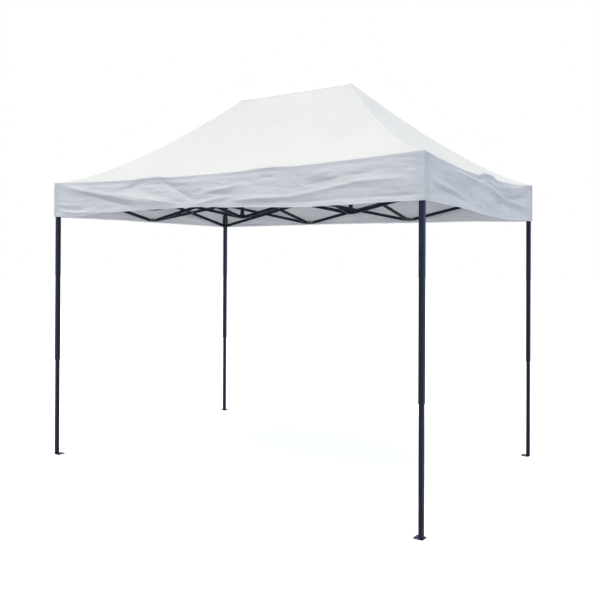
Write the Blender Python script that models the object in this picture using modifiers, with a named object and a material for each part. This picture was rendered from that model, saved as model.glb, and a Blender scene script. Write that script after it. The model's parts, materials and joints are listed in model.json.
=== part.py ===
"""Pop up canopy, 3 m by 2 m, standing open on four telescopic legs.

The origin is on the ground under the middle of the roof. X runs along the
long side, Y along the short side, and -Y is the front. The frame is a grid of
1 m bays. Each bay side is a pair of crossed bars, pinned to an upper bracket
at one end and to a lower bracket at the other. All lengths are in metres.
"""

import math

import bmesh
import bpy
from mathutils import Matrix, Vector

# Plan grid of the frame, between leg centre lines.
BAY = 1.0
COLUMNS = 4
ROWS = 3

# Heights above the ground.
UPPER_PIVOT_Z = 2.032
LOWER_PIVOT_Z = 1.838
OUTER_LEG_BOTTOM_Z = 0.720
OUTER_LEG_TOP_Z = 2.061
INNER_LEG_TOP_Z = 1.080
MAST_TOP_Z = 2.753

# Legs: square steel tube in square steel tube.
OUTER_TUBE = 0.030
INNER_TUBE = 0.025
TUBE_WALL = 0.0012
OUTER_CORNER = 0.0030
INNER_CORNER = 0.0025
FOOT_SIZE = 0.058
FOOT_THICK = 0.003
FOOT_EDGE = 0.0145
FOOT_CORNER = 0.004
FOOT_HOLE_RADIUS = 0.004
FOOT_HOLE_OFFSET = 0.031

# Scissor bars: flat tube with open round ends.
PIVOT_OUT = 0.034
BAR_DEEP = 0.025
BAR_THICK = 0.010
BAR_WALL = 0.001
BAR_PLANE = 0.0055
RIVET_RADIUS = 0.003
RIVET_HEAD_RADIUS = 0.0052
RIVET_HEAD_THICK = 0.0018
RIVET_HOLE_RADIUS = 0.0036

# Brackets: ears run from the middle to just past each pivot.
EAR_RADIUS = 0.011
EAR_INNER = 0.0008
EAR_OUTER = 0.0053
SLEEVE_HALF = 0.0190
SLEEVE_HOLE_HALF = 0.0156
SLEEVE_CORNER = 0.0035
SLEEVE_NECK_HALF = 0.0176
SLEEVE_BELOW = 0.018
SLEEVE_ABOVE = 0.065
SLEEVE_NECK_ABOVE = 0.092
CORNER_SLEEVE = 0.062
BRACKET_RADIUS = 0.0175
BRACKET_HALF_HEIGHT = 0.014

# Masts: round tube, sliding through the upper hubs.
MAST_RADIUS = 0.0150
MAST_WALL = 0.0012
HUB_RADIUS = 0.0195
HUB_HOLE_RADIUS = 0.0156
HUB_ABOVE = 0.015
HUB_BELOW = 0.090
MAST_HUB_ABOVE = 0.022

# Cover: roof skin with a hanging valance.
COVER_MARGIN = 0.0215
EAVE_Z = 2.070
PEAK_Z = 2.776
SAG_POWER = 1.36
VALANCE_DROP = 0.267
CLOTH_THICK = 0.001
COVER_CELL = 0.125

ROUND_STEPS = 24
SMALL_STEPS = 8
END_STEPS = 12
CORNER_STEPS = 3
SMOOTH_ANGLE = math.radians(40)

HALF_LENGTH = BAY * (COLUMNS - 1) / 2
HALF_DEPTH = BAY * (ROWS - 1) / 2
SPAN = BAY - 2 * PIVOT_OUT
RISE = UPPER_PIVOT_Z - LOWER_PIVOT_Z
BAR_LENGTH = math.hypot(SPAN, RISE)
BAR_ANGLE = math.atan2(RISE, SPAN)
MIDDLE_Z = (UPPER_PIVOT_Z + LOWER_PIVOT_Z) / 2

SIDE_NAMES = {(1, 0): 0, (0, 1): 90, (-1, 0): 180, (0, -1): 270}
CORNERS = {
    "front_left": (0, 0),
    "front_right": (COLUMNS - 1, 0),
    "back_left": (0, ROWS - 1),
    "back_right": (COLUMNS - 1, ROWS - 1),
}
MIDDLES = {"left": (1, 1), "right": (2, 1)}
SIDE_NODES = {"side_left": (0, 1), "side_right": (3, 1)}
LONG_NODES = {
    "front_left": (1, 0),
    "front_right": (2, 0),
    "back_left": (1, 2),
    "back_right": (2, 2),
}
ROOT_NODE = CORNERS["front_right"]


def clear_scene():
    for item in list(bpy.data.objects):
        bpy.data.objects.remove(item, do_unlink=True)


def make_collection(name):
    collection = bpy.data.collections.new(name)
    bpy.context.scene.collection.children.link(collection)
    return collection


def make_material(name, colour, roughness, metallic):
    material = bpy.data.materials.new(name)
    material.use_nodes = True
    shader = material.node_tree.nodes["Principled BSDF"]
    shader.inputs["Base Color"].default_value = (*colour, 1.0)
    shader.inputs["Roughness"].default_value = roughness
    shader.inputs["Metallic"].default_value = metallic
    return material


# ---------------------------------------------------------------- shapes


def to_mesh(bm, name="shape"):
    mesh = bpy.data.meshes.new(name)
    bm.to_mesh(mesh)
    bm.free()
    return mesh


def box(low, high, corner=0.0):
    """Box between two opposite corners, with its upright edges rounded."""
    low = Vector(low)
    high = Vector(high)
    bm = bmesh.new()
    bmesh.ops.create_cube(bm, size=1.0)
    bmesh.ops.scale(bm, vec=high - low, verts=bm.verts)
    bmesh.ops.translate(bm, vec=(low + high) / 2, verts=bm.verts)
    if corner:
        upright = [edge for edge in bm.edges if is_upright(edge)]
        bmesh.ops.bevel(
            bm, geom=upright, offset=corner, segments=CORNER_STEPS, profile=0.5, affect="EDGES"
        )
    return to_mesh(bm)


def is_upright(edge):
    run = edge.verts[0].co - edge.verts[1].co
    return math.hypot(run.x, run.y) < abs(run.z) * 0.01


def square_post(half, low_z, high_z, centre=(0.0, 0.0), corner=0.0):
    """Upright square bar about a vertical centre line."""
    x, y = centre
    return box((x - half, y - half, low_z), (x + half, y + half, high_z), corner)


def round_post(radius, low_z, high_z, centre=(0.0, 0.0), steps=ROUND_STEPS):
    """Upright round bar about a vertical centre line."""
    bm = bmesh.new()
    bmesh.ops.create_cone(
        bm, cap_ends=True, segments=steps, radius1=radius, radius2=radius, depth=high_z - low_z
    )
    middle = Vector((centre[0], centre[1], (low_z + high_z) / 2))
    bmesh.ops.translate(bm, vec=middle, verts=bm.verts)
    return to_mesh(bm)


def cross_pin(radius, x, low_y, high_y, z=0.0, steps=SMALL_STEPS):
    """Round bar that lies along Y."""
    bm = bmesh.new()
    bmesh.ops.create_cone(
        bm, cap_ends=True, segments=steps, radius1=radius, radius2=radius, depth=high_y - low_y
    )
    turn = Matrix.Rotation(math.radians(90), 4, "X")
    half_step = Matrix.Rotation(math.pi / steps, 4, "Z")
    place = Matrix.Translation((x, (low_y + high_y) / 2, z))
    bmesh.ops.transform(bm, matrix=place @ turn @ half_step, verts=bm.verts)
    return to_mesh(bm)


def round_ended_plate(radius, low_x, high_x, low_y, high_y, z=0.0):
    """Plate in the XZ plane with half-round ends centred on low_x and high_x."""
    bm = bmesh.new()
    bmesh.ops.create_cone(
        bm,
        cap_ends=True,
        segments=END_STEPS,
        radius1=radius,
        radius2=radius,
        depth=high_y - low_y,
    )
    turn = Matrix.Rotation(math.radians(90), 4, "X")
    half_step = Matrix.Rotation(math.pi / END_STEPS, 4, "Z")
    bmesh.ops.transform(bm, matrix=turn @ half_step, verts=bm.verts)
    for vertex in bm.verts:
        vertex.co.x += high_x if vertex.co.x > 0 else low_x
    bmesh.ops.translate(bm, vec=(0, (low_y + high_y) / 2, z), verts=bm.verts)
    return to_mesh(bm)


def turned(mesh, degrees, centre=(0.0, 0.0)):
    """Turn a mesh about Z and move it to a plan position."""
    place = Matrix.Translation((centre[0], centre[1], 0))
    mesh.transform(place @ Matrix.Rotation(math.radians(degrees), 4, "Z"))
    return mesh


def combine(name, base, added=(), removed=()):
    """Mesh of a base shape with shapes fused on and then shapes cut away."""
    scene = bpy.context.scene.collection
    host = bpy.data.objects.new(name + "_base", base)
    scene.objects.link(host)
    tools = []
    for operation, shapes in (("UNION", added), ("DIFFERENCE", removed)):
        for shape in shapes:
            tool = bpy.data.objects.new(name + "_tool", shape)
            tool.hide_render = True
            tool.display_type = "WIRE"
            scene.objects.link(tool)
            tools.append(tool)
            modifier = host.modifiers.new(operation.lower(), "BOOLEAN")
            modifier.operation = operation
            modifier.solver = "EXACT"
            modifier.object = tool
    depsgraph = bpy.context.evaluated_depsgraph_get()
    mesh = bpy.data.meshes.new_from_object(host.evaluated_get(depsgraph))
    mesh.name = name
    for item in [host, *tools]:
        bpy.data.objects.remove(item, do_unlink=True)
    return mesh


def smooth(mesh):
    mesh.shade_smooth()
    mesh.set_sharp_from_angle(angle=SMOOTH_ANGLE)
    return mesh


# ---------------------------------------------------------------- layout


def plan_xy(node):
    """Plan position of a grid node."""
    column, row = node
    return (column * BAY - HALF_LENGTH, row * BAY - HALF_DEPTH)


def open_sides(node):
    """Directions in which the frame carries on from a grid node."""
    column, row = node
    found = []
    for step in SIDE_NAMES:
        if 0 <= column + step[0] < COLUMNS and 0 <= row + step[1] < ROWS:
            found.append(step)
    return found


def ear_side(step, upper):
    """Which side of the node plane an ear lies on, in its own turned frame."""
    side = 1 if step[0] else -1
    return side if upper else -side


def ears(node, pivot_z, upper, start_x):
    """One ear plate for each side of a node, and the pin hole through each."""
    centre = plan_xy(node)
    plates = []
    holes = []
    for step in open_sides(node):
        side = ear_side(step, upper)
        low_y, high_y = sorted((side * EAR_INNER, side * EAR_OUTER))
        plate = round_ended_plate(EAR_RADIUS, start_x, PIVOT_OUT, low_y, high_y, pivot_z)
        hole = cross_pin(RIVET_HOLE_RADIUS, PIVOT_OUT, low_y - BAR_WALL, high_y + BAR_WALL, pivot_z)
        plates.append(turned(plate, SIDE_NAMES[step], centre))
        holes.append(turned(hole, SIDE_NAMES[step], centre))
    return plates, holes


# ---------------------------------------------------------------- legs


def outer_leg_mesh(name, node):
    """Square tube, open at the foot, with the corner bracket fused on top."""
    centre = plan_xy(node)
    bottom = OUTER_LEG_BOTTOM_Z
    top = OUTER_LEG_TOP_Z
    tube = square_post(OUTER_TUBE / 2, bottom, top - BAR_WALL, centre, OUTER_CORNER)
    sleeve = square_post(SLEEVE_HALF, top - CORNER_SLEEVE, top, centre, SLEEVE_CORNER)
    bore_half = OUTER_TUBE / 2 - TUBE_WALL
    bore_corner = OUTER_CORNER - TUBE_WALL
    bore = square_post(bore_half, bottom - BAR_DEEP, top - BAR_THICK, centre, bore_corner)
    plates, holes = ears(node, UPPER_PIVOT_Z, True, OUTER_TUBE / 2)
    return combine(name, tube, [sleeve, *plates], [bore, *holes])


def inner_leg_mesh(name, node):
    """Square tube welded on a flat foot plate that points inwards."""
    x, y = plan_xy(node)
    inward_x = -math.copysign(1, x)
    inward_y = -math.copysign(1, y)
    half = INNER_TUBE / 2
    inner_edge = FOOT_SIZE - FOOT_EDGE
    xs = sorted((x - inward_x * FOOT_EDGE, x + inward_x * inner_edge))
    ys = sorted((y - inward_y * FOOT_EDGE, y + inward_y * inner_edge))
    plate = box((xs[0], ys[0], 0), (xs[1], ys[1], FOOT_THICK), FOOT_CORNER)
    tube = square_post(half, FOOT_THICK / 2, INNER_LEG_TOP_Z, (x, y), INNER_CORNER)
    bore_corner = INNER_CORNER - TUBE_WALL
    bore_top = INNER_LEG_TOP_Z + BAR_DEEP
    bore = square_post(half - TUBE_WALL, FOOT_THICK, bore_top, (x, y), bore_corner)
    holes = []
    for offset_x, offset_y in ((FOOT_HOLE_OFFSET, 0), (0, FOOT_HOLE_OFFSET)):
        spot = (x + inward_x * offset_x, y + inward_y * offset_y)
        holes.append(round_post(FOOT_HOLE_RADIUS, -FOOT_THICK, 2 * FOOT_THICK, spot, END_STEPS))
    return combine(name, plate, [tube], [bore, *holes])


def slider_mesh(name, node):
    """Sleeve that runs on the outer leg and carries the lower bar ends."""
    centre = plan_xy(node)
    low = LOWER_PIVOT_Z - SLEEVE_BELOW
    high = LOWER_PIVOT_Z + SLEEVE_NECK_ABOVE
    shoulder = LOWER_PIVOT_Z + SLEEVE_ABOVE
    body = square_post(SLEEVE_HALF, low, shoulder, centre, SLEEVE_CORNER)
    neck = square_post(SLEEVE_NECK_HALF, low + BAR_WALL, high, centre, SLEEVE_CORNER)
    bore_low = low - BAR_DEEP
    bore_high = high + BAR_DEEP
    bore = square_post(SLEEVE_HOLE_HALF, bore_low, bore_high, centre, INNER_CORNER)
    plates, holes = ears(node, LOWER_PIVOT_Z, False, OUTER_TUBE / 2)
    return combine(name, body, [neck, *plates], [bore, *holes])


# ---------------------------------------------------------------- masts and brackets


def mast_mesh(name, node):
    """Round tube closed at the top, with the lower hub fused to its foot."""
    centre = plan_xy(node)
    low = LOWER_PIVOT_Z - BRACKET_HALF_HEIGHT
    tube = round_post(MAST_RADIUS, low + BAR_WALL, MAST_TOP_Z, centre)
    hub = round_post(HUB_RADIUS, low, LOWER_PIVOT_Z + MAST_HUB_ABOVE, centre)
    bore = round_post(MAST_RADIUS - MAST_WALL, low - BAR_DEEP, MAST_TOP_Z - BAR_THICK, centre)
    plates, holes = ears(node, LOWER_PIVOT_Z, False, MAST_RADIUS)
    return combine(name, tube, [hub, *plates], [bore, *holes])


def upper_hub_mesh(name, node):
    """Round sleeve that the mast slides through, with an ear on each side."""
    centre = plan_xy(node)
    low = UPPER_PIVOT_Z - HUB_BELOW
    high = UPPER_PIVOT_Z + HUB_ABOVE
    sleeve = round_post(HUB_RADIUS, low, high, centre)
    bore = round_post(HUB_HOLE_RADIUS, low - BAR_DEEP, high + BAR_DEEP, centre)
    plates, holes = ears(node, UPPER_PIVOT_Z, True, HUB_HOLE_RADIUS)
    return combine(name, sleeve, plates, [bore, *holes])


def bracket_mesh(name, node, upper):
    """Small round block with an ear for each bar end that meets there."""
    pivot_z = UPPER_PIVOT_Z if upper else LOWER_PIVOT_Z
    low = pivot_z - BRACKET_HALF_HEIGHT
    high = pivot_z + BRACKET_HALF_HEIGHT
    post = round_post(BRACKET_RADIUS, low, high, plan_xy(node), END_STEPS)
    plates, holes = ears(node, pivot_z, upper, BAR_THICK)
    return combine(name, post, plates, holes)


# ---------------------------------------------------------------- bars


def bar_tube(side):
    """Flat tube about the middle of a bar, lying beside the node plane."""
    low_y = side * BAR_PLANE - BAR_THICK / 2
    high_y = side * BAR_PLANE + BAR_THICK / 2
    half = BAR_LENGTH / 2
    radius = BAR_DEEP / 2
    outside = round_ended_plate(radius, -half, half, low_y, high_y)
    inside_half = BAR_DEEP / 2 - 2 * BAR_WALL
    inside = box(
        (-half - BAR_DEEP, low_y + BAR_WALL, -inside_half),
        (half + BAR_DEEP, high_y - BAR_WALL, inside_half),
    )
    return outside, inside


def rivet(x, side, grip):
    """Rivet that leaves the bar's inner face, crosses the grip and ends in a head."""
    start = side * (BAR_PLANE - BAR_THICK / 2) + side * BAR_WALL / 2
    head_near = -side * grip
    head_far = -side * (grip + RIVET_HEAD_THICK)
    shank_end = (head_near + head_far) / 2
    shank = cross_pin(RIVET_RADIUS, x, min(start, shank_end), max(start, shank_end))
    head = cross_pin(RIVET_HEAD_RADIUS, x, min(head_near, head_far), max(head_near, head_far))
    return [shank, head]


def bar_mesh(name, side, pinned):
    """Bar with its two end rivets, and a centre rivet or the hole for one."""
    outside, inside = bar_tube(side)
    hollow = combine(name + "_tube", outside, (), [inside])
    ear_grip = EAR_OUTER + BAR_WALL / 2
    bar_grip = BAR_PLANE + BAR_THICK / 2 + BAR_WALL / 2
    rivets = rivet(-BAR_LENGTH / 2, side, ear_grip)
    rivets += rivet(BAR_LENGTH / 2, side, ear_grip)
    if pinned:
        rivets += rivet(0.0, side, bar_grip)
        return combine(name, hollow, rivets)
    hole = cross_pin(RIVET_HOLE_RADIUS, 0.0, -BAR_DEEP, BAR_DEEP)
    return combine(name, hollow, rivets, [hole])


# ---------------------------------------------------------------- cover


def roof_height(x, y):
    """Height of the roof skin: each slope sags between the eave and the ridge."""
    run_x = (abs(x) - BAY / 2) / (BAY + COVER_MARGIN)
    run_y = abs(y) / (BAY + COVER_MARGIN)
    to_ridge = 1.0 - min(1.0, max(run_x, run_y, 0.0))
    return EAVE_Z + (PEAK_Z - EAVE_Z) * to_ridge ** SAG_POWER


def cover_mesh(name):
    """Roof skin on a plan grid, with the valance pulled down from its edge."""
    bm = bmesh.new()
    cells_x = round(2 * HALF_LENGTH / COVER_CELL)
    cells_y = round(2 * HALF_DEPTH / COVER_CELL)
    bmesh.ops.create_grid(bm, x_segments=cells_x, y_segments=cells_y, size=1.0)
    for vertex in bm.verts:
        x = vertex.co.x * HALF_LENGTH
        y = vertex.co.y * HALF_DEPTH
        if abs(x) > HALF_LENGTH - COVER_CELL / 2:
            x = math.copysign(HALF_LENGTH + COVER_MARGIN, x)
        if abs(y) > HALF_DEPTH - COVER_CELL / 2:
            y = math.copysign(HALF_DEPTH + COVER_MARGIN, y)
        vertex.co = (x, y, roof_height(x, y))
    rim = [edge for edge in bm.edges if edge.is_boundary]
    pulled = bmesh.ops.extrude_edge_only(bm, edges=rim)["geom"]
    hem = [item for item in pulled if isinstance(item, bmesh.types.BMVert)]
    bmesh.ops.translate(bm, vec=(0, 0, -VALANCE_DROP), verts=hem)
    bmesh.ops.triangulate(bm, faces=bm.faces, quad_method="LONG_EDGE")
    bmesh.ops.recalc_face_normals(bm, faces=bm.faces)
    return to_mesh(bm, name)


# ---------------------------------------------------------------- assembly


class Assembly:
    """Places every piece on an empty that sits on the piece's own axis."""

    def __init__(self):
        self.collection = make_collection("pop_up_canopy")
        self.steel = make_material("dark_powder_coat", (0.012, 0.017, 0.032), 0.38, 0.45)
        self.nylon = make_material("grey_nylon", (0.42, 0.43, 0.45), 0.45, 0.0)
        self.dark_nylon = make_material("black_nylon", (0.016, 0.017, 0.020), 0.5, 0.0)
        self.cloth = make_material("white_polyester", (0.84, 0.84, 0.82), 0.8, 0.0)

    def add(self, name, mesh, material, axis, spot=(0, 0, 0), turn=(0, 0, 0)):
        """Add a piece under an empty on its axis, at a world position and turn."""
        empty = bpy.data.objects.new("axis_" + name, None)
        empty.location = axis
        self.collection.objects.link(empty)
        piece = bpy.data.objects.new(name, smooth(mesh))
        piece.parent = empty
        piece.location = Vector(spot) - Vector(axis)
        piece.rotation_euler = turn
        if not mesh.materials:
            mesh.materials.append(material)
        self.collection.objects.link(piece)
        return piece


def add_legs(canopy):
    for place, node in CORNERS.items():
        x, y = plan_xy(node)
        name = "outer_leg_" + place
        canopy.add(name, outer_leg_mesh(name, node), canopy.steel, (x, y, OUTER_LEG_TOP_Z))
        name = "inner_leg_" + place
        canopy.add(name, inner_leg_mesh(name, node), canopy.steel, (x, y, 0))
        name = "slider_" + place
        canopy.add(name, slider_mesh(name, node), canopy.dark_nylon, (x, y, LOWER_PIVOT_Z))


def add_masts(canopy):
    for place, node in MIDDLES.items():
        x, y = plan_xy(node)
        name = "mast_" + place
        canopy.add(name, mast_mesh(name, node), canopy.steel, (x, y, LOWER_PIVOT_Z))
        name = "upper_hub_" + place
        canopy.add(name, upper_hub_mesh(name, node), canopy.dark_nylon, (x, y, UPPER_PIVOT_Z))


def add_brackets(canopy):
    for place, node in {**LONG_NODES, **SIDE_NODES}.items():
        name = "lower_bracket_" + place
        spot = (*plan_xy(node), LOWER_PIVOT_Z)
        canopy.add(name, bracket_mesh(name, node, False), canopy.nylon, spot)
    for place, node in SIDE_NODES.items():
        name = "upper_bracket_" + place
        spot = (*plan_xy(node), UPPER_PIVOT_Z)
        canopy.add(name, bracket_mesh(name, node, True), canopy.nylon, spot)


def bar_axis(middle, along_x, near_high):
    """Pivot that carries a bar: its end nearest the front right leg, or its middle."""
    if near_high is None:
        return middle
    x, y, z = middle
    half = SPAN / 2
    z = UPPER_PIVOT_Z if near_high else LOWER_PIVOT_Z
    return (x + half, y, z) if along_x else (x, y - half, z)


def add_bar_pair(canopy, place, low_node, high_node, meshes):
    """Crossed bars of one bay side: one rises and one falls towards high_node."""
    along_x = low_node[1] == high_node[1]
    low = plan_xy(low_node)
    high = plan_xy(high_node)
    middle = ((low[0] + high[0]) / 2, (low[1] + high[1]) / 2, MIDDLE_Z)
    near = high_node if along_x else low_node
    from_above = near == ROOT_NODE
    spin = 0.0 if along_x else math.radians(-90)
    tilt = BAR_ANGLE if along_x else -BAR_ANGLE
    # At the near end, the rising bar of an X pair is high and that of a Y pair is low.
    rising_is_carrier = along_x == from_above
    rise_end = from_above if rising_is_carrier else None
    fall_end = None if rising_is_carrier else from_above
    rise_axis = bar_axis(middle, along_x, rise_end)
    fall_axis = bar_axis(middle, along_x, fall_end)
    canopy.add(place + "_rising", meshes[0], canopy.steel, rise_axis, middle, (0, -tilt, spin))
    canopy.add(place + "_falling", meshes[1], canopy.steel, fall_axis, middle, (0, tilt, spin))


def add_bars(canopy):
    pinned = bar_mesh("pinned_bar", 1, True)
    drilled = bar_mesh("drilled_bar", -1, False)
    meshes = (pinned, drilled)
    for row, row_name in enumerate(("front", "middle", "back")):
        for column, part in enumerate(("left", "centre", "right")):
            place = "bar_" + row_name + "_" + part
            add_bar_pair(canopy, place, (column, row), (column + 1, row), meshes)
    for column, line_name in enumerate(("left_end", "left_inner", "right_inner", "right_end")):
        for row, part in enumerate(("front", "back")):
            place = "bar_" + line_name + "_" + part
            add_bar_pair(canopy, place, (column, row), (column, row + 1), meshes)


def add_cover(canopy):
    name = "canopy_cover"
    piece = canopy.add(name, cover_mesh(name), canopy.cloth, (0, 0, EAVE_Z))
    skin = piece.modifiers.new("cloth", "SOLIDIFY")
    skin.thickness = CLOTH_THICK
    skin.offset = -1.0
    skin.use_even_offset = True


def build():
    clear_scene()
    canopy = Assembly()
    add_legs(canopy)
    add_masts(canopy)
    add_brackets(canopy)
    add_bars(canopy)
    add_cover(canopy)


build()
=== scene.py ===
"""Looks of the pop up canopy: sewn cover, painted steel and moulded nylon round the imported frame.

X runs along the long side, Y from front to back and Z up, in metres.
"""

import json
import math

import bmesh
import bpy
from mathutils import Euler, Matrix, Vector, noise

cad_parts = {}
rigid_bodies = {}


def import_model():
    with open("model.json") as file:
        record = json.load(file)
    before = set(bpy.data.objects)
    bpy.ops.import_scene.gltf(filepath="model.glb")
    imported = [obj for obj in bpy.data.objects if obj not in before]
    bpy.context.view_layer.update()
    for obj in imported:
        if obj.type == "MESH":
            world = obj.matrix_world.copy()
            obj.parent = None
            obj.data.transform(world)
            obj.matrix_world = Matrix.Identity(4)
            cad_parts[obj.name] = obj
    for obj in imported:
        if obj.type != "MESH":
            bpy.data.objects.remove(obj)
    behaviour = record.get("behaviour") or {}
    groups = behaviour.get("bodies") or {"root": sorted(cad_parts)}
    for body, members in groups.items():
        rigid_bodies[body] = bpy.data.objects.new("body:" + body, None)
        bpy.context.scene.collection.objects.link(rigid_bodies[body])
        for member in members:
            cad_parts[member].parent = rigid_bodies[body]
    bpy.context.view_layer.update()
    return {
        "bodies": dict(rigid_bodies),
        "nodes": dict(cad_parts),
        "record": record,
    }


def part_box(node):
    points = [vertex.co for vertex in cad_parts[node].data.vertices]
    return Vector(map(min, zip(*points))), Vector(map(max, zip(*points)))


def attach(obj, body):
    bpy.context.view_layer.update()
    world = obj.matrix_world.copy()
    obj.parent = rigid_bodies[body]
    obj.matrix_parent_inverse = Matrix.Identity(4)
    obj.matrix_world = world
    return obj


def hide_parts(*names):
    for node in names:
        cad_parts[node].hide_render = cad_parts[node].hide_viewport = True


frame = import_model()

# ---------------------------------------------------------------- places read from the frame

HOME_BODY = "outer_leg_front_right"
CORNERS = ("front_left", "front_right", "back_left", "back_right")

cover_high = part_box("canopy_cover")[1]
mast_low, mast_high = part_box("mast_right")
bracket_low, bracket_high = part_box("upper_bracket_side_right")
sleeve_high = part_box("slider_back_right")[1]

SLEEVE_HALF = 0.0190
LEG_X = sleeve_high.x - SLEEVE_HALF
LEG_Y = sleeve_high.y - SLEEVE_HALF
PEAK_X = (mast_low.x + mast_high.x) / 2
BAY = LEG_X - PEAK_X
BRACKET_RADIUS = bracket_high.x - LEG_X
BRACKET_HALF_HEIGHT = (bracket_high.z - bracket_low.z) / 2
BRACKET_TOP = bracket_high.z + 0.0010
UPPER_PIVOT_Z = (bracket_high.z + bracket_low.z) / 2

# ---------------------------------------------------------------- cover sizes

# Corners and peaks. The eave clears the leg tops.
EAVE_X = cover_high.x + 0.0005
EAVE_Y = cover_high.y + 0.0005
EAVE_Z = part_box("outer_leg_front_right")[1].z + 0.010
PEAK_Z = cover_high.z
CLOTH = 0.0012

# Slope from the eave to a peak: its power, and how much the power falls towards the right.
SLOPE_POWER = 1.42
SLOPE_LEAN = 0.06
PANEL_SAG = 0.012
RIDGE_SAG = 0.005

# Cloth that rests on a bracket of the eave: length held level, its fade, and its rise.
BRACKET_REACH = 0.048
BRACKET_FADE = 0.16
BRACKET_RISE = 0.003

# Hem band, and the sewn strips beside the hips and corners.
HEM_BAND = 0.024
HEM_STEP = 0.0015
HEM_WAVE = 0.002
HEM_BULGE = 0.0010
HEM_PUCKER = 0.0006
SEAM_RISE = 0.0008
SEAM_INSETS = (0.0, 0.009, 0.016)
SEAM_REACH = 0.026
SEAM_WIDTH = 0.036
STITCH_EDGE = 0.004

# Hanging cloth: gain of the listed folds, then heights of creases, waves, ripples, flare
# and the hollow under the eave.
FOLD_GAIN = 1.9
CREASE_DEPTH = 0.0060
WAVE_DEPTH = 0.0022
RIPPLE_DEPTH = 0.0010
FLARE = 0.0050
EAVE_HOLLOW = 0.0030
ROOM_BESIDE_LEG = 0.0002
ROOM_BETWEEN = 0.0063

# Grid of the cloth: width of a station, and rows from the ridge to the eave and down to the hem.
STATION_GAP = 0.0135
ROOF_ROWS = 30
VALANCE_ROWS = 28

# How the cloth folds: depth of the pleats, where they start between two lines of brackets,
# reach of the cloth held still beside a line, and travel of the sliders.
PLEAT_DEPTH = 0.16
PLEAT_START = 0.30
HELD_REACH = 0.052
SLIDER_TRAVEL = 0.755

# Folds that fan out from a peak: height, waves round the peak, and distance and width of the ring.
FAN_HEIGHT = 0.006
FAN_WAVES = 4.2
FAN_REACH = 0.24
FAN_WIDTH = 0.26

# Wrinkles of the roof: height, waves per metre along X and Y, and layer of the noise.
SLACK_CLOTH = (0.0040, 2.3, 2.3, 5.0)
FINE_CRINKLE = (0.0012, 9.0, 6.0, 9.0)
RIDGE_PUCKER = (0.0030, 4.0, 19.0, 3.0)
HIP_PUCKER = (0.0030, 13.0, 13.0, 13.0)

# Hem line of each side, anticlockwise from its first corner:
# (metres from the middle, metres above the ground).
FRONT_HEM = (
    (-1.5, 1.810),
    (-1.25, 1.804),
    (-1.0, 1.823),
    (-0.1, 1.829),
    (0.3, 1.813),
    (0.75, 1.796),
    (1.5, 1.803),
)
RIGHT_HEM = ((-1.0, 1.803), (-0.55, 1.798), (0.0, 1.779), (0.35, 1.774), (0.85, 1.788), (1.0, 1.794))
BACK_HEM = ((-1.5, 1.794), (-0.9, 1.807), (0.4, 1.819), (1.5, 1.821))
LEFT_HEM = ((-1.0, 1.821), (0.3, 1.819), (1.0, 1.810))

# Folds of a valance: start and end as (metres along the side, share of the drop),
# then height and width in millimetres.
FRONT_FOLDS = (
    ((-1.22, 0.30), (-0.66, 0.86), -8, 24),
    ((-1.40, 0.10), (-0.38, 0.86), 9, 24),
    ((-0.84, 0.42), (-0.22, 0.89), 7, 18),
    ((-0.44, 0.02), (-0.09, 0.80), -5, 20),
    ((-0.45, 0.03), (-0.80, 0.32), -5, 16),
    ((-0.09, 0.91), (0.21, 0.68), 6, 13),
    ((-0.07, 0.62), (0.30, 0.36), 6, 17),
    ((0.20, 0.82), (0.70, 0.74), 7, 16),
    ((0.64, 0.75), (1.14, 0.50), 7, 18),
    ((1.08, 0.51), (1.42, 0.50), 5, 18),
    ((0.33, 0.88), (0.68, 0.83), -4, 10),
    ((0.69, 0.88), (1.09, 0.85), -4, 9),
    ((1.16, 0.86), (1.46, 0.88), -4, 9),
    ((0.78, 0.47), (1.01, 0.39), -4, 14),
    ((0.99, 0.34), (1.25, 0.30), -4, 12),
    ((-0.52, 0.22), (-0.40, 0.22), -5, 8),
    ((0.44, 0.24), (0.56, 0.24), -5, 8),
    ((-1.46, 0.72), (-1.20, 0.84), -5, 12),
    ((-1.42, 0.86), (-1.05, 0.93), 6, 10),
)
SIDE_FOLDS = (
    ((-0.97, 0.62), (-0.35, 0.83), -5, 15),
    ((-0.88, 0.56), (-0.52, 0.66), 5, 14),
    ((-0.17, 0.40), (0.80, 0.80), -8, 24),
    ((-0.10, 0.28), (0.84, 0.66), 7, 22),
    ((0.02, 0.20), (0.89, 0.05), 6, 18),
    ((0.21, 0.47), (0.88, 0.35), -6, 20),
    ((-0.60, 0.10), (-0.04, 0.24), 6, 16),
    ((-0.05, 0.22), (0.06, 0.22), -5, 8),
)


# ---------------------------------------------------------------- small maths


def ease(value, low=0.0, high=1.0):
    """0 below low, 1 above high and a smooth step between them."""
    share = min(1.0, max(0.0, (value - low) / (high - low)))
    return share * share * (3.0 - 2.0 * share)


def bell(value, width):
    """1 at zero, falling smoothly to both sides."""
    return math.exp(-((value / width) ** 2))


def crease(value, width):
    """Ridge of folded cloth: sharper at the top than a bell."""
    return math.exp(-((abs(value) / width) ** 1.15))


def ripple(point, wrinkle):
    """Height of one kind of roof wrinkle at a point."""
    height, along_x, along_y, layer = wrinkle
    return height * noise.noise(Vector((point.x * along_x, point.y * along_y, layer)))


def along_line(value, points):
    """Height at a place on a smooth line through a few points."""
    for (low, low_z), (high, high_z) in zip(points, points[1:]):
        if value <= high:
            return low_z + (high_z - low_z) * ease(value, low, high)
    return points[-1][1]


def mirrored_folds(folds, gain):
    """The same folds for the opposite side, higher or lower by a gain."""
    found = []
    for (start, start_drop), (end, end_drop), height, width in folds:
        found.append(((-start, start_drop), (-end, end_drop), height * gain, width))
    return tuple(found)


# ---------------------------------------------------------------- cover shape


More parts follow.
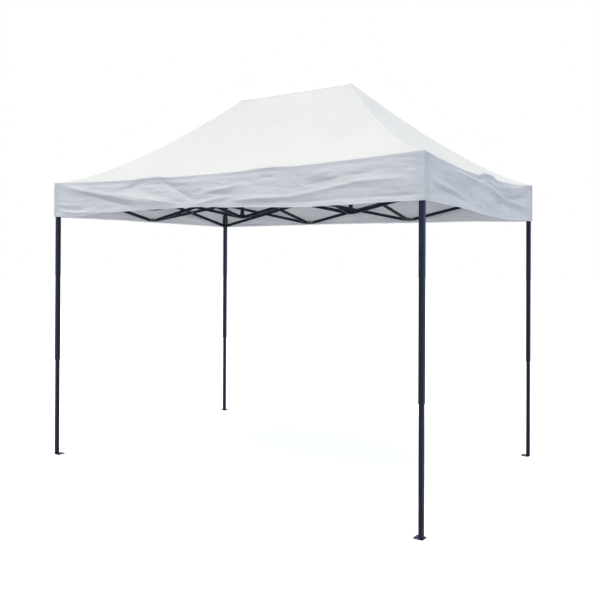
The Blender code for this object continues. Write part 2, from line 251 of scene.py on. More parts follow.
class Side:
    """One side of the cover, with its own length, eave, hem and folds."""

    def __init__(self, half, normal, hem, folds, dip, nodes, seed):
        self.half = half
        self.normal = Vector((*normal, 0.0))
        self.hem = hem
        self.folds = folds
        self.dip = dip
        self.nodes = nodes
        self.seed = seed

    def node_gap(self, place):
        """Distance along the side from the nearest bracket."""
        return min(abs(place - node) for node in self.nodes)

    def eave_z(self, place):
        """Height of the edge of the roof: it hangs between the corners and the brackets."""
        share = min(1.0, abs(place) / self.half)
        hang = self.dip * (1.0 - share**2.4)
        held = 1.0 - ease(self.node_gap(place), BRACKET_REACH, BRACKET_REACH + BRACKET_FADE)
        return EAVE_Z - hang + (BRACKET_TOP + CLOTH - EAVE_Z + hang) * held

    def node_lift(self, place):
        """How far the cloth rises where it lies on the bracket under it."""
        return BRACKET_RISE * (1.0 - ease(self.node_gap(place), BRACKET_REACH, 0.10))

    def inward_room(self, place):
        """How far the valance can blow in before it meets a leg, bracket or rivet."""
        past_leg = ease(self.half - abs(place), 0.045, 0.08)
        past_bracket = ease(self.node_gap(place), 0.025, 0.06)
        return ROOM_BESIDE_LEG + ROOM_BETWEEN * past_leg * (0.25 + 0.75 * past_bracket)

    def hem_z(self, place):
        """Height of the hem line, with a slight wave."""
        wave = HEM_WAVE * noise.noise(Vector((place * 9.0, self.seed, 0.0)))
        return along_line(place, self.hem) + wave

    def fold_height(self, place, share, drop):
        """How far the valance stands out from its flat plane."""
        total = 0.0
        for (start, start_share), (end, end_share), height, width in self.folds:
            run = Vector((end - start, (end_share - start_share) * drop))
            to_point = Vector((place - start, (share - start_share) * drop))
            along = to_point.dot(run) / run.length_squared
            across = abs(to_point.x * run.y - to_point.y * run.x) / run.length
            fade = ease(along, -0.12, 0.25) * (1.0 - ease(along, 0.72, 1.12))
            total += FOLD_GAIN * height * 0.001 * fade * crease(across, width * 0.0008)
        return total


FRONT_NODES = (-PEAK_X, PEAK_X)
SIDES = (
    Side(EAVE_X, (0, -1), FRONT_HEM, FRONT_FOLDS, 0.033, FRONT_NODES, 1.0),
    Side(EAVE_Y, (1, 0), RIGHT_HEM, SIDE_FOLDS, 0.048, (0.0,), 2.0),
    Side(EAVE_X, (0, 1), BACK_HEM, mirrored_folds(FRONT_FOLDS, 0.9), 0.031, FRONT_NODES, 3.0),
    Side(EAVE_Y, (-1, 0), LEFT_HEM, mirrored_folds(SIDE_FOLDS, 1.1), 0.042, (0.0,), 4.0),
)


def side_stations(half):
    """Stations from one corner to the next: (sign, inset from the corner, share of the side)."""
    count = round(2 * half / STATION_GAP)
    even = [(0, None, 2.0 * step / count - 1.0) for step in range(count + 1)]
    start = [(-1, inset, None) for inset in SEAM_INSETS]
    end = [(1, inset, None) for inset in reversed(SEAM_INSETS[1:])]
    return start + even + end


def station_place(station, half):
    """Distance of a station from the middle of a side that is this long."""
    sign, inset, share = station
    shrink = min(1.0, half / 0.12)
    if inset is None:
        return share * (half - SEAM_REACH * shrink)
    return sign * (half - inset * shrink)


def seam_share(station):
    """1 on the sewn strip beside a corner and 0 away from it."""
    inset = station[1]
    return 1.0 if inset is not None and inset < SEAM_INSETS[-1] else 0.0


def ring_point(side, place, half_x, half_y):
    """Plan position on a ring: place runs anticlockwise along the side."""
    normal = side.normal
    run = Vector((-normal.y, normal.x, 0.0))
    out = half_x if normal.x else half_y
    return normal * out + run * place


def roof_point(side, station, rise):
    """A point of the roof: rise is 0 at the eave and 1 at the ridge."""
    half_x = PEAK_X + (1.0 - rise) * (EAVE_X - PEAK_X)
    half_y = (1.0 - rise) * EAVE_Y
    half = half_y if side.normal.x else half_x
    place = station_place(station, half)
    full = station_place(station, side.half)
    point = ring_point(side, place, half_x, half_y)
    eave = side.eave_z(full)
    across = 1.0 - (abs(place) / half) ** 2 if half > 0.001 else 0.0
    power = SLOPE_POWER - SLOPE_LEAN * point.x / EAVE_X
    point.z = EAVE_Z + (PEAK_Z - EAVE_Z) * rise**power
    point.z += (eave - EAVE_Z) * (1.0 - rise) ** 6
    point.z += side.node_lift(full) * (1.0 - math.exp(-rise / 0.008)) * (1.0 - rise) ** 12
    point.z -= PANEL_SAG * across * math.sin(math.pi * min(1.0, rise)) ** 2
    point.z -= RIDGE_SAG * (1.0 - (min(1.0, abs(point.x) / PEAK_X)) ** 2) * ease(rise, 0.6, 1.0)
    beside_hip = ease(abs(place) / half, 0.72, 0.97) if half > 0.001 else 0.0
    point.z += roof_wrinkle(point, rise, beside_hip) * ease(rise, 0.01, 0.10)
    point.z += SEAM_RISE * seam_share(station) * (1.0 - ease(rise, 0.96, 1.0))
    return point


def roof_wrinkle(point, rise, beside_hip):
    """Fans below the peaks, puckers by the ridge and hips, and slack cloth near the eave."""
    height = 0.0
    for peak in (-PEAK_X, PEAK_X):
        away = Vector((point.x - peak, point.y))
        angle = math.atan2(away.y, away.x)
        turn = Vector((math.cos(angle) * FAN_WAVES, math.sin(angle) * FAN_WAVES, peak * 7.0))
        height += FAN_HEIGHT * noise.noise(turn) * bell(away.length - FAN_REACH, FAN_WIDTH)
    height += ripple(point, SLACK_CLOTH) * (1.0 - rise)
    height += ripple(point, FINE_CRINKLE)
    height += ripple(point, RIDGE_PUCKER) * ease(rise, 0.62, 0.85)
    height += ripple(point, HIP_PUCKER) * beside_hip
    return height


def valance_wrinkle(side, place, down):
    """Waves, two sizes of creases, fine ripples and the flare of hanging cloth."""
    waves = WAVE_DEPTH * noise.noise(Vector((place * 4.0, down * 2.0, side.seed * 3.0)))
    slant = Vector((place * 3.0 + down * 1.5, down * 4.5 - place * 1.2, side.seed * 7.0))
    creases = 0.35 - abs(noise.noise(slant))
    slant = Vector((place * 7.0 - down * 2.5, down * 7.0 + place * 2.4, side.seed * 11.0))
    creases += 0.5 * (0.35 - abs(noise.noise(slant)))
    creases *= CREASE_DEPTH * ease(down, 0.05, 0.25)
    ripples = RIPPLE_DEPTH * noise.noise(Vector((place * 15.0, down * 5.0, side.seed * 5.0)))
    return waves + creases + ripples + FLARE * ease(down, 0.1, 0.9)


def valance_point(side, station, share, hem_up):
    """A point of the valance: share of the drop above the hem band, or height above the hem."""
    place = station_place(station, side.half)
    eave = side.eave_z(place)
    hem = side.hem_z(place)
    low = hem + HEM_BAND
    z = eave + (low - eave) * share if hem_up is None else hem + hem_up
    drop = eave - hem
    down = (eave - z) / drop
    from_corner = side.half - abs(place)
    loose = ease(from_corner, 0.0, 0.07)
    out = (side.fold_height(place, down, drop) + valance_wrinkle(side, place, down)) * loose
    out -= EAVE_HOLLOW * bell(down - 0.085, 0.05)
    out *= ease(down, 0.0, 0.06)
    out = max(out, -side.inward_room(place))
    if hem_up is not None and hem_up < HEM_BAND - HEM_STEP / 2:
        out += HEM_BULGE + HEM_PUCKER * math.sin(place * 310.0) * math.sin(place * 47.0)
    out += SEAM_RISE * seam_share(station) * ease(from_corner, 0.0, 0.005)
    point = ring_point(side, place, EAVE_X, EAVE_Y) + side.normal * out
    point.z = z
    return point


def roof_rises():
    """Rows of the roof, closer together beside the eave."""
    rises = [0.0, 0.003, 0.008, 0.014, 0.022]
    count = ROOF_ROWS - len(rises)
    rises += [0.022 + 0.978 * (step + 1) / count for step in range(count)]
    return rises


def valance_rows():
    """Rows of a valance from the eave down to the hem."""
    rows = [(0.006, None), (0.02, None), (0.045, None)]
    rows += [(0.045 + 0.955 * step / VALANCE_ROWS, None) for step in range(1, VALANCE_ROWS + 1)]
    rows += [(None, HEM_BAND - HEM_STEP), (None, HEM_BAND * 0.5), (None, 0.003), (None, 0.0)]
    return rows


def cover_rings():
    """Rings of points from the ridge down to the hem, with the cloth coordinates of each."""
    stations = [(side, station) for side in SIDES for station in side_stations(side.half)]
    rings = []
    for rise in reversed(roof_rises()):
        rings.append([roof_point(side, station, rise) for side, station in stations])
    for share, hem_up in valance_rows():
        rings.append([valance_point(side, station, share, hem_up) for side, station in stations])
    return stations, rings


def cover_mesh():
    """One sheet: the roof from the ridge to the eave, and the valance from the eave to the hem."""
    stations, rings = cover_rings()
    bm = bmesh.new()
    cloth_uv = bm.loops.layers.uv.new("cloth")
    seam_uv = bm.loops.layers.uv.new("seam")
    along = lengths_along()
    heights = ring_heights(rings)
    grid = [[bm.verts.new(point) for point in ring] for ring in rings]
    count = len(stations)
    for row in range(len(rings) - 1):
        for step in range(count):
            after = (step + 1) % count
            corners = (grid[row][step], grid[row + 1][step], grid[row + 1][after], grid[row][after])
            face = bm.faces.new(corners)
            face.smooth = True
            if row >= ROOF_ROWS - 1 and stations[step][1][1] == 0.0:
                bm.edges.get(corners[:2]).smooth = False
            lengths = (along[step], along[step], along[step + 1], along[step + 1])
            rows = (row, row + 1, row + 1, row)
            columns = (step, step, after, after)
            for loop, length, ring, column in zip(face.loops, lengths, rows, columns):
                gap = corner_gap(stations[column][0], rings[ring][column])
                loop[cloth_uv].uv = (length, heights[ring])
                loop[seam_uv].uv = (gap, heights[ring])
    bmesh.ops.remove_doubles(bm, verts=bm.verts, dist=0.00005)
    bmesh.ops.dissolve_degenerate(bm, edges=bm.edges, dist=0.00001)
    mesh = bpy.data.meshes.new("canopy_cover_cloth")
    bm.to_mesh(mesh)
    bm.free()
    return mesh


def lengths_along():
    """Length of cloth round the cover up to each station, and up to the first one again."""
    lengths = []
    start = 0.0
    for side in SIDES:
        for station in side_stations(side.half):
            lengths.append(start + side.half + station_place(station, side.half))
        start += 2 * side.half
    return lengths + [start]


def ring_heights(rings):
    """Length of cloth from the hem up to each ring, measured at the middle of the front."""
    heights = [0.0]
    middle = len(side_stations(EAVE_X)) // 2
    for above, below in zip(reversed(rings[:-1]), reversed(rings[1:])):
        heights.append(heights[-1] + (above[middle] - below[middle]).length)
    return list(reversed(heights))


def corner_gap(side, point):
    """Distance from the nearest hip or corner seam."""
    if side.normal.x:
        out = max(0.0, (abs(point.x) - PEAK_X) / (EAVE_X - PEAK_X))
        return max(0.0, out * EAVE_Y - abs(point.y))
    out = min(1.0, abs(point.y) / EAVE_Y)
    return max(0.0, PEAK_X + out * (EAVE_X - PEAK_X) - abs(point.x))


# ---------------------------------------------------------------- cloth that follows the legs


def grid_place(value, limit):
    """Nearest line of brackets, and how far towards the next: 0 beside a line and 1 midway."""
    lines = (max(-limit, min(limit, value)) + limit) / BAY
    line = round(lines)
    offset = (lines - line) * BAY
    free = max(0.0, abs(offset) - HELD_REACH) / (BAY / 2 - HELD_REACH)
    return line, math.copysign(free, offset)


def grid_share(value, limit):
    """Share of the way from one leg to the other, level beside each line of brackets."""
    line, free = grid_place(value, limit)
    return (line + free / 2) * BAY / (2 * limit)


def plan_weights(x, y):
    """Share of each corner leg in the plan movement of a point."""
    right = grid_share(x, LEG_X)
    back = grid_share(y, LEG_Y)
    return {
        "front_left": (1.0 - right) * (1.0 - back),
        "front_right": right * (1.0 - back),
        "back_left": (1.0 - right) * back,
        "back_right": right * back,
    }


def between_lines(value, limit):
    """0 on and beside a line of brackets and 1 midway between two lines."""
    return ease(abs(grid_place(value, limit)[1]), PLEAT_START, 1.0)


def fold_drop(point):
    """How far a point of the cover sinks, as a share of the sliders' travel."""
    pleat = 1.0 - (1.0 - between_lines(point.x, LEG_X)) * (1.0 - between_lines(point.y, LEG_Y))
    above = max(0.0, point.z - EAVE_Z)
    return min(1.0, (above + PLEAT_DEPTH * pleat) / SLIDER_TRAVEL)


def follow(piece, weights):
    """Hooks a piece to the corner bodies: weights gives each body's share at a vertex."""
    groups = {}
    for vertex in piece.data.vertices:
        for body, share in weights(vertex.co).items():
            if share > 0.0001 and body != HOME_BODY:
                if body not in groups:
                    groups[body] = piece.vertex_groups.new(name=body)
                groups[body].add([vertex.index], share, "REPLACE")
    for body in groups:
        hook = piece.modifiers.new("follow_" + body, "HOOK")
        hook.object = frame["bodies"][body]
        hook.vertex_group = body
        hook.falloff_type = "NONE"
        hook.matrix_inverse = Matrix.Identity(4)


def cover_weights(point):
    """Legs carry the cloth in plan, and sliders pull down what sinks."""
    sink = fold_drop(point)
    weights = {}
    for corner, share in plan_weights(point.x, point.y).items():
        weights["outer_leg_" + corner] = share * (1.0 - sink)
        weights["slider_" + corner] = share * sink
    return weights


# ---------------------------------------------------------------- node materials


class Shader:
    """A node material under construction."""

    def __init__(self, name):
        self.material = bpy.data.materials.new(name)
        self.material.use_nodes = True
        self.tree = self.material.node_tree
        self.surface = self.tree.nodes["Principled BSDF"]
        self.output = self.tree.nodes["Material Output"]

    def feed(self, socket, value):
        """Links a socket to an input, or sets the input to a number or colour."""
        if isinstance(value, bpy.types.NodeSocket):
            self.tree.links.new(value, socket)
        elif isinstance(socket.default_value, (float, int)):
            socket.default_value = value
        else:
            size = len(socket.default_value)
            socket.default_value = (*value, 1.0)[:size]

    def add(self, kind, inputs=None, **settings):
        """A new node with its settings and inputs."""
        node = self.tree.nodes.new("ShaderNode" + kind)
        for name, value in settings.items():
            setattr(node, name, value)
        for key, value in (inputs or {}).items():
            self.feed(node.inputs[key], value)
        return node

    def set(self, **values):
        """Inputs of the principled shader, with underscores for spaces."""
        for name, value in values.items():
            self.feed(self.surface.inputs[name.replace("_", " ")], value)

    def math(self, operation, *values):
        node = self.add("Math", operation=operation)
        for socket, value in zip(node.inputs, values):
            self.feed(socket, value)
        return node.outputs[0]

    def place(self):
        return self.add("TexCoord").outputs["Object"]

    def split(self, vector):
        return self.add("SeparateXYZ", {"Vector": vector}).outputs

    def uv(self, name):
        return self.add("UVMap", uv_map=name).outputs[0]

    def noise(self, vector, scale, detail=3.0, roughness=0.55):
        inputs = {"Vector": vector, "Scale": scale, "Detail": detail, "Roughness": roughness}
        return self.add("TexNoise", inputs).outputs["Fac"]

    def stretch(self, vector, scale):
        return self.add("Mapping", {"Vector": vector, "Scale": scale}).outputs[0]

    def between(self, value, low, high):
        """0 below low, 1 above high."""
        inputs = {"Value": value, "From Min": low, "From Max": high}
        return self.add("MapRange", inputs).outputs[0]

    def mix(self, share, first, second):
        node = self.add("Mix", data_type="RGBA")
        self.feed(node.inputs[0], share)
        self.feed(node.inputs[6], first)
        self.feed(node.inputs[7], second)
        return node.outputs[2]

    def bump(self, height, distance, strength=1.0, normal=None):
        inputs = {"Height": height, "Distance": distance, "Strength": strength}
        if normal:
            inputs["Normal"] = normal
        return self.add("Bump", inputs).outputs[0]

    def edge_mask(self, radius):
        """1 along the edges of a solid and 0 on its faces."""
        soft = self.add("Bevel", {"Radius": radius}, samples=4).outputs[0]
        flat = self.add("NewGeometry").outputs["True Normal"]
        dot = self.add("VectorMath", {0: soft, 1: flat}, operation="DOT_PRODUCT").outputs["Value"]
        return self.between(dot, 0.995, 0.93)


def stitch_row(shader, across, along, offset, width=0.0009, pitch=0.0042):
    """1 on the threads of a row of stitches that lies at offset from a line."""
    gap = shader.math("ABSOLUTE", shader.math("SUBTRACT", across, offset))
    near = shader.math("LESS_THAN", gap, width)
    part = shader.math("FRACT", shader.math("DIVIDE", along, pitch))
    thread = shader.math("LESS_THAN", part, 0.68)
    return shader.math("MULTIPLY", near, thread)


THREAD_PITCH = 0.0011
HANGING_CLOTH = 0.26
# Height above the hem of the painted highlight along its rolled lower edge.
HEM_HIGHLIGHT_BAND = 0.0050


def cover_material(name, colour, shade, translucence):
    """Coated woven polyester with sewn seams, creases and a soft sheen, with painted light on the seam
    strips and a painted highlight along the hem edge.
    """
    shader = Shader(name)
    cloth = shader.uv("cloth")
    place = shader.place()
    u, v = shader.split(cloth)[:2]
    gap, rise = shader.split(shader.uv("seam"))[:2]
    pitch = 2 * math.pi / THREAD_PITCH
    warp = shader.math("SINE", shader.math("MULTIPLY", u, pitch))
    weft = shader.math("SINE", shader.math("MULTIPLY", v, pitch))
    weave = shader.math("MULTIPLY", warp, weft)
    rows = stitch_row(shader, v, u, HEM_BAND - STITCH_EDGE)
    for offset in (SEAM_WIDTH - STITCH_EDGE, 0.0030):
        rows = shader.math("MAXIMUM", rows, stitch_row(shader, gap, rise, offset))
    crumple = shader.noise(place, 16.0, 5.0, 0.6)
    streak = shader.noise(shader.stretch(cloth, (3.0, 24.0, 1.0)), 3.0, 4.0, 0.6)
    hanging = shader.between(v, HANGING_CLOTH + 0.01, HANGING_CLOTH - 0.01)
    slant = shader.noise(shader.stretch(cloth, (3.0, 9.0, 1.0)), 2.4, 2.5, 0.5)
    ridge = shader.math("ABSOLUTE", shader.math("SUBTRACT", slant, 0.5))
    normal = shader.bump(weave, 0.00012, 0.5)
    normal = shader.bump(shader.math("MULTIPLY", ridge, hanging), 0.020, 0.45, normal)
    normal = shader.bump(streak, 0.004, 0.30, normal)
    normal = shader.bump(crumple, 0.004, 0.35, normal)
    normal = shader.bump(rows, 0.0006, 1.0, normal)
    patch = shader.between(shader.noise(place, 2.6, 4.0, 0.6), 0.35, 0.75)
    tint = shader.mix(patch, colour, shade)
    # Strip beside each hip and corner seam: doubled cloth, lightened further with painted light, most
    # of all on the hanging valance.
    doubled_lit_strip = shader.between(gap, SEAM_WIDTH + 0.002, SEAM_WIDTH - 0.002)
    seam_painted_light = shader.math("ADD", 0.15, shader.math("MULTIPLY", hanging, 0.35))
    tint = shader.mix(shader.math("MULTIPLY", doubled_lit_strip, seam_painted_light), tint, (0.94, 0.94, 0.94))
    tint = shader.mix(shader.math("MULTIPLY", rows, 0.35), tint, (0.55, 0.55, 0.56))
    # Painted highlight: the rolled lower edge of the hem is lightened as if it caught the light.
    tint = shader.mix(shader.between(v, HEM_HIGHLIGHT_BAND + 0.0005, HEM_HIGHLIGHT_BAND - 0.0005), tint, (0.97, 0.97, 0.97))
    rough = shader.between(shader.noise(place, 60.0, 3.0), -1.6, 1.4)
    shader.set(Base_Color=tint, Roughness=rough, Normal=normal)
    shader.set(Sheen_Weight=0.12, Sheen_Roughness=0.4, Specular_IOR_Level=0.28)
    glow = shader.add("BsdfTranslucent", {"Color": tint, "Normal": normal})
    lit = shader.surface.outputs[0]
    blend = shader.add("MixShader", {"Fac": translucence, 1: lit, 2: glow.outputs[0]})
    shader.feed(shader.output.inputs["Surface"], blend.outputs[0])
    return shader.material


def powder_coat():
    """Navy-black powder coat: orange-peel grain, dust, and grey steel worn through at the edges."""
    shader = Shader("powder_coat")
    place = shader.place()
    peel = shader.noise(place, 900.0, 2.0)
    dust = shader.between(shader.noise(place, 7.0, 5.0, 0.6), 0.45, 0.80)
    strokes = shader.noise(shader.stretch(place, (60.0, 60.0, 9.0)), 1.0, 4.0, 0.7)
    scuffs = shader.between(strokes, 0.60, 0.70)
    chips = shader.between(shader.noise(place, 140.0, 3.0), 0.50, 0.58)
    worn = shader.math("MULTIPLY", shader.edge_mask(0.0012), chips)
    dusty = shader.math("MULTIPLY", dust, 0.55)
    colour = shader.mix(dusty, (0.0058, 0.0090, 0.0235), (0.012, 0.016, 0.031))
    colour = shader.mix(shader.math("MULTIPLY", scuffs, 0.25), colour, (0.060, 0.066, 0.080))
    colour = shader.mix(shader.math("MULTIPLY", worn, 0.65), colour, (0.30, 0.31, 0.33))
    rough = shader.math("ADD", 0.42, shader.math("MULTIPLY", dust, 0.16))
    shader.set(Base_Color=colour, Roughness=rough, Metallic=0.15)
    shader.set(Normal=shader.bump(peel, 0.0002, 0.35), Specular_IOR_Level=0.32)
    return shader.material


def moulded_nylon(name, colour, worn_colour):
    """Moulded nylon: fine spark-eroded grain, faint flow marks and polished edges."""
    shader = Shader(name)
    place = shader.place()
    grain = shader.noise(place, 1600.0, 2.0)
    flow = shader.noise(shader.stretch(place, (40.0, 40.0, 130.0)), 1.0, 3.0)
    edge = shader.edge_mask(0.0010)
    tint = shader.mix(shader.between(flow, 0.35, 0.85), colour, worn_colour)
    tint = shader.mix(shader.math("MULTIPLY", edge, 0.5), tint, worn_colour)
    rough = shader.math("SUBTRACT", 0.56, shader.math("MULTIPLY", edge, 0.18))
    shader.set(Base_Color=tint, Roughness=rough)
    shader.set(Normal=shader.bump(grain, 0.0003, 0.5), Specular_IOR_Level=0.42)
    return shader.material


def zinc():
    """Zinc-plated steel: mottled grey with a fine turned finish."""
    shader = Shader("zinc_plate")
    place = shader.place()
    mottle = shader.between(shader.noise(place, 260.0, 4.0), 0.3, 0.7)
    colour = shader.mix(mottle, (0.42, 0.43, 0.44), (0.60, 0.61, 0.62))
    rough = shader.math("ADD", 0.28, shader.math("MULTIPLY", mottle, 0.2))
    shader.set(Base_Color=colour, Roughness=rough, Metallic=0.9)
    shader.set(Normal=shader.bump(shader.noise(place, 2200.0), 0.0002, 0.3))
    return shader.material


def floor_material():
    """Matt white studio floor that gives little light back to the cloth."""
    shader = Shader("studio_floor")
    place = shader.place()
    seen = shader.add("LightPath").outputs["Is Camera Ray"]
    grain = shader.mix(shader.noise(place, 3.0, 3.0), (0.97, 0.97, 0.97), (1.0, 1.0, 1.0))
    colour = shader.mix(seen, (0.40, 0.41, 0.44), grain)
    shader.set(Base_Color=colour, Roughness=0.9, Specular_IOR_Level=0.05)
    shader.set(Emission_Color=(1.0, 1.0, 1.0), Emission_Strength=shader.math("MULTIPLY", seen, 0.16))
    return shader.material


# ---------------------------------------------------------------- hardware shapes


def add_piece(name, mesh, material):
    """A visible object from a finished mesh."""
    mesh.materials.append(material)
    piece = bpy.data.objects.new(name, mesh)
    bpy.context.scene.collection.objects.link(piece)
    return piece


def lathe(bm, outline, spot, direction, steps=20):
    """Solid turned about a direction from an outline of (radius, height) points."""
    turn = Vector(direction).to_track_quat("Z", "Y").to_matrix().to_4x4()
    place = Matrix.Translation(spot) @ turn
    rings = []
    for radius, height in outline:
        ring = []
        for step in range(steps):
            angle = 2 * math.pi * step / steps
            point = Vector((radius * math.cos(angle), radius * math.sin(angle), height))
            ring.append(bm.verts.new(place @ point))
        rings.append(ring)
    for low, high in zip(rings, rings[1:]):
        for step in range(steps):
            after = (step + 1) % steps
            bm.faces.new((low[step], low[after], high[after], high[step])).smooth = True
    bm.faces.new(list(reversed(rings[0])))
    bm.faces.new(rings[-1])


def dome(radius, height, rim):
    """Outline of a low dome on a short straight rim."""
    outline = [(radius, 0.0), (radius, rim)]
    for step in range(1, 5):
        angle = math.radians(90 * step / 5)
        outline.append((radius * math.cos(angle), rim + (height - rim) * math.sin(angle)))
    return outline


def finished_mesh(bm, name):
    """A mesh with its faces turned outwards, and the working copy freed."""
    bmesh.ops.recalc_face_normals(bm, faces=bm.faces)
    mesh = bpy.data.meshes.new(name)
    bm.to_mesh(mesh)
    bm.free()
    return mesh


# ---------------------------------------------------------------- build: cover

steel = powder_coat()
black_nylon = moulded_nylon("black_nylon_grain", (0.014, 0.015, 0.018), (0.035, 0.036, 0.040))
grey_nylon = moulded_nylon("grey_nylon_grain", (0.085, 0.088, 0.095), (0.22, 0.22, 0.23))
zinc_plate = zinc()
cloth_outside = cover_material("cover_outside", (0.88, 0.872, 0.856), (0.85, 0.845, 0.835), 0.50)
cloth_inside = cover_material("cover_inside", (0.82, 0.81, 0.80), (0.78, 0.77, 0.77), 0.55)


def build_cover():
    """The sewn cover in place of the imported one, hooked to the legs and sliders."""
    cover = add_piece("canopy_cover_cloth", cover_mesh(), cloth_outside)
    cover.data.materials.append(cloth_inside)
    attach(cover, HOME_BODY)
    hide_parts("canopy_cover")
    follow(cover, cover_weights)
    skin = cover.modifiers.new("cloth", "SOLIDIFY")
    skin.thickness = CLOTH
    skin.offset = -1.0
    skin.use_even_offset = False
    skin.material_offset = 1
    skin.material_offset_rim = 0


# ---------------------------------------------------------------- build: frame finishes and hardware

BAR_EDGE = 0.0125
RIVET_RADIUS = 0.0052
RIVET_RISE = 0.0018
RIVET_RIM = 0.0004


def paint_nodes():
    """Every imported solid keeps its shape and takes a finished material."""
    finish = {"black_nylon": black_nylon, "grey_nylon": grey_nylon, "dark_powder_coat": steel}
    slots = {row["node"]: row["material_slot"] for row in frame["record"]["subparts"]}
    for name, node in frame["nodes"].items():
        if slots[name] in finish:
            node.data.materials.clear()
            node.data.materials.append(finish[slots[name]])


def build_rivets():
    """Domed rivet heads on the outer face of every bar."""
    for name in sorted(frame["bodies"]):
        if not name.startswith("bar_"):
            continue
        low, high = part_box(name)
        run = 0 if high.x - low.x > high.y - low.y else 1
        across = 1 - run
        rising = name.endswith("_rising")
        start = low.z + BAR_EDGE if rising else high.z - BAR_EDGE
        end = high.z - BAR_EDGE if rising else low.z + BAR_EDGE
        spots = [(low[run] + BAR_EDGE, start), (high[run] - BAR_EDGE, end)]
        if rising:
            spots.append(((low[run] + high[run]) / 2, (start + end) / 2))
        direction = Vector((0.0, 0.0, 0.0))
        direction[across] = 1.0 if rising else -1.0
        bm = bmesh.new()
        for place, z in spots:
            spot = Vector((0.0, 0.0, z))
            spot[run] = place
            spot[across] = high[across] if rising else low[across]
            lathe(bm, dome(RIVET_RADIUS, RIVET_RISE, RIVET_RIM), spot, direction, 14)
        mesh = finished_mesh(bm, name)
        rivets = add_piece(name.replace("bar_", "rivets_"), mesh, zinc_plate)
        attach(rivets, name)


EAR_RADIUS = 0.011
EAR_REACH = 0.034
EAR_ROOT = 0.010
EAR_INNER = 0.0008
EAR_OUTER = 0.0053
EAR_HOLE = 0.0036
EAR_LOOPS = ((EAR_INNER, True), (EAR_INNER, False), (EAR_OUTER, False), (EAR_OUTER, True))
BRACKET_CHAMFER = 0.0012
BRACKET_EARS = (((1.0, 0.0), 1), ((-1.0, 0.0), 1))


def ear_plate(bm, spot, direction, side, steps=24):
    """Plate that reaches out from a bracket beside its bar, with the hole for the bar's rivet."""
    out = Vector((*direction, 0.0))
    across = Vector((-out.y, out.x, 0.0)) * side
    pivot = Vector(spot) + out * EAR_REACH
    loops = []
    for offset, hole in EAR_LOOPS:
        loop = []
        for step in range(steps):
            angle = 2 * math.pi * step / steps
            run, rise = math.cos(angle), math.sin(angle)
            radius = EAR_HOLE if hole else EAR_RADIUS
            if run < 0 and not hole:
                radius = min(EAR_RADIUS / max(abs(rise), 0.001), (EAR_REACH - EAR_ROOT) / -run)
            point = pivot + out * (radius * run) + across * offset
            point.z += radius * rise
            loop.append(bm.verts.new(point))
        loops.append(loop)
    for first, second in zip(loops, loops[1:] + loops[:1]):
        for step in range(steps):
            after = (step + 1) % steps
            bm.faces.new((first[step], first[after], second[after], second[step]))


def build_long_side_brackets():
    """Upper brackets between the bays of the long sides, which stay in line with the legs."""
    half = BRACKET_HALF_HEIGHT
    rim = BRACKET_RADIUS - BRACKET_CHAMFER
    edge = half - BRACKET_CHAMFER
    outline = ((rim, -half), (BRACKET_RADIUS, -edge), (BRACKET_RADIUS, edge), (rim, half))
    for end, x in (("left", -PEAK_X), ("right", PEAK_X)):
        for row, y in (("front", -LEG_Y), ("back", LEG_Y)):
            bm = bmesh.new()
            spot = (x, y, UPPER_PIVOT_Z)
            lathe(bm, outline, spot, (0.0, 0.0, 1.0), 28)
            inward = -1.0 if y > 0 else 1.0
            for direction, side in BRACKET_EARS + (((0.0, inward), -1),):
                ear_plate(bm, spot, direction, side)
            name = f"upper_bracket_{row}_{end}"
            bracket = add_piece(name, finished_mesh(bm, name), grey_nylon)
            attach(bracket, HOME_BODY)
            shares = plan_weights(x, y)
            weights = {"outer_leg_" + corner: share for corner, share in shares.items()}
            follow(bracket, lambda point, weights=weights: weights)


LEG_TUBE = 0.030
PLUG_RADIUS = 0.0148
PLUG_HEIGHT = 0.0085
PLUG_RIM = 0.003
PLUG_CHAMFER = 0.001
PLUG_GAP = 0.0002
BUTTON_RADIUS = 0.0052
BUTTON_HEIGHT = 0.0048
BUTTON_RIM = 0.0022
BUTTON_ABOVE = 0.024


def build_mast_plugs():
    """Rounded nylon plugs that keep the mast ends from chafing the cloth."""
    outline = [(PLUG_RADIUS - PLUG_CHAMFER, 0.0), (PLUG_RADIUS, PLUG_CHAMFER)]
    outline += dome(PLUG_RADIUS, PLUG_HEIGHT, PLUG_RIM)[1:]
    for end, x in (("left", -PEAK_X), ("right", PEAK_X)):
        bm = bmesh.new()
        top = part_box("mast_" + end)[1].z
        lathe(bm, outline, (x, 0.0, top + PLUG_GAP), (0.0, 0.0, 1.0), 28)
        name = "mast_plug_" + end
        plug = add_piece(name, finished_mesh(bm, name), black_nylon)
        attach(plug, "mast_" + end)


def build_snap_buttons():
    """Sprung button low on each outer leg that holds the inner leg out."""
    for corner in CORNERS:
        outward = -1.0 if corner.startswith("front") else 1.0
        x = LEG_X if corner.endswith("right") else -LEG_X
        y = outward * (LEG_Y + LEG_TUBE / 2)
        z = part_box("outer_leg_" + corner)[0].z + BUTTON_ABOVE
        bm = bmesh.new()
        outline = dome(BUTTON_RADIUS, BUTTON_HEIGHT, BUTTON_RIM)
        lathe(bm, outline, (x, y, z), (0.0, outward, 0.0), 20)
        name = "snap_button_" + corner
        button = add_piece(name, finished_mesh(bm, name), steel)
        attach(button, "outer_leg_" + corner)


# ---------------------------------------------------------------- stage

CAMERA_SPOT = (3.0500, -4.5246, 1.4705)
CAMERA_TURN = (math.radians(90.296), 0.0, math.radians(33.468))
CAMERA_ROLL = math.radians(0.242)
CAMERA_LENS = 42.716
CAMERA_SENSOR = 36.0
CAMERA_SHIFT = -0.0687
FLOOR_HALF = 60.0
FLOOR_Z = -0.0005
SKY_LOW = (0.645, 0.90, 1.50, 1.0)
SKY_HIGH = (1.25, 1.225, 1.07, 1.0)
SKY_TOP = 0.9


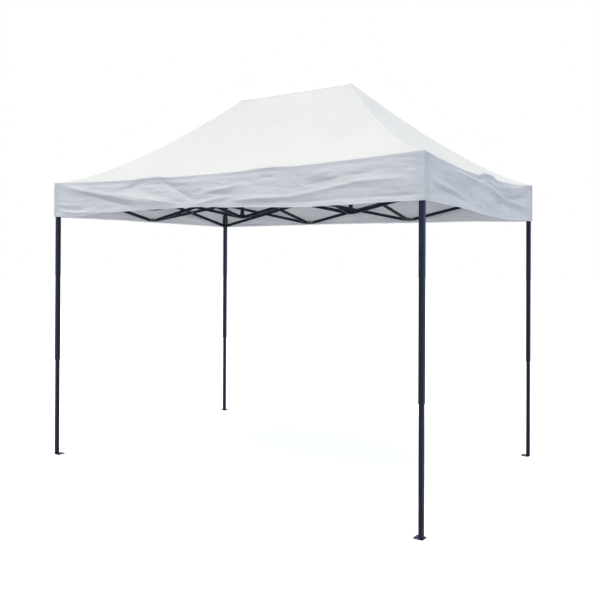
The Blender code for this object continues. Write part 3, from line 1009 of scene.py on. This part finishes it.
def build_camera():
    """Low camera in front of the right-hand corner."""
    data = bpy.data.cameras.new("camera")
    data.lens = CAMERA_LENS
    data.sensor_width = CAMERA_SENSOR
    data.shift_y = CAMERA_SHIFT
    camera = bpy.data.objects.new("camera", data)
    roll = Matrix.Rotation(CAMERA_ROLL, 4, "Z")
    turn = Euler(CAMERA_TURN, "XYZ").to_matrix().to_4x4()
    camera.matrix_world = Matrix.Translation(CAMERA_SPOT) @ turn @ roll
    bpy.context.scene.collection.objects.link(camera)
    bpy.context.scene.camera = camera


def build_floor():
    """Wide pale floor just under the foot plates."""
    bm = bmesh.new()
    bmesh.ops.create_grid(bm, x_segments=1, y_segments=1, size=FLOOR_HALF)
    mesh = finished_mesh(bm, "studio_floor")
    mesh.materials.append(floor_material())
    floor = bpy.data.objects.new("studio_floor", mesh)
    floor.location.z = FLOOR_Z
    bpy.context.scene.collection.objects.link(floor)


def build_world():
    """White to the camera; for the light, brighter overhead than at the sides."""
    world = bpy.data.worlds.new("studio")
    bpy.context.scene.world = world
    world.use_nodes = True
    tree = world.node_tree
    back = tree.nodes["Background"]
    view = tree.nodes.new("ShaderNodeTexCoord")
    split = tree.nodes.new("ShaderNodeSeparateXYZ")
    ramp = tree.nodes.new("ShaderNodeValToRGB")
    path = tree.nodes.new("ShaderNodeLightPath")
    mix = tree.nodes.new("ShaderNodeMix")
    mix.data_type = "RGBA"
    low, high = ramp.color_ramp.elements
    low.position = 0.0
    low.color = SKY_LOW
    high.position = SKY_TOP
    high.color = SKY_HIGH
    mix.inputs[7].default_value = (1.0, 1.0, 1.0, 1.0)
    tree.links.new(view.outputs["Generated"], split.inputs[0])
    tree.links.new(split.outputs["Z"], ramp.inputs[0])
    tree.links.new(path.outputs["Is Camera Ray"], mix.inputs[0])
    tree.links.new(ramp.outputs[0], mix.inputs[6])
    tree.links.new(mix.outputs[2], back.inputs[0])


def build_light():
    """Wide soft light from high in front of the object."""
    data = bpy.data.lights.new("top_light", "SUN")
    data.energy = 1.62
    data.angle = math.radians(40.0)
    data.color = (1.0, 0.945, 0.77)
    light = bpy.data.objects.new("top_light", data)
    light.rotation_euler = (math.radians(18.0), 0.0, math.radians(-12.0))
    bpy.context.scene.collection.objects.link(light)


build_cover()
paint_nodes()
build_rivets()
build_long_side_brackets()
build_mast_plugs()
build_snap_buttons()
build_camera()
build_floor()
build_world()
build_light()
bpy.context.scene.view_settings.view_transform = "Standard"
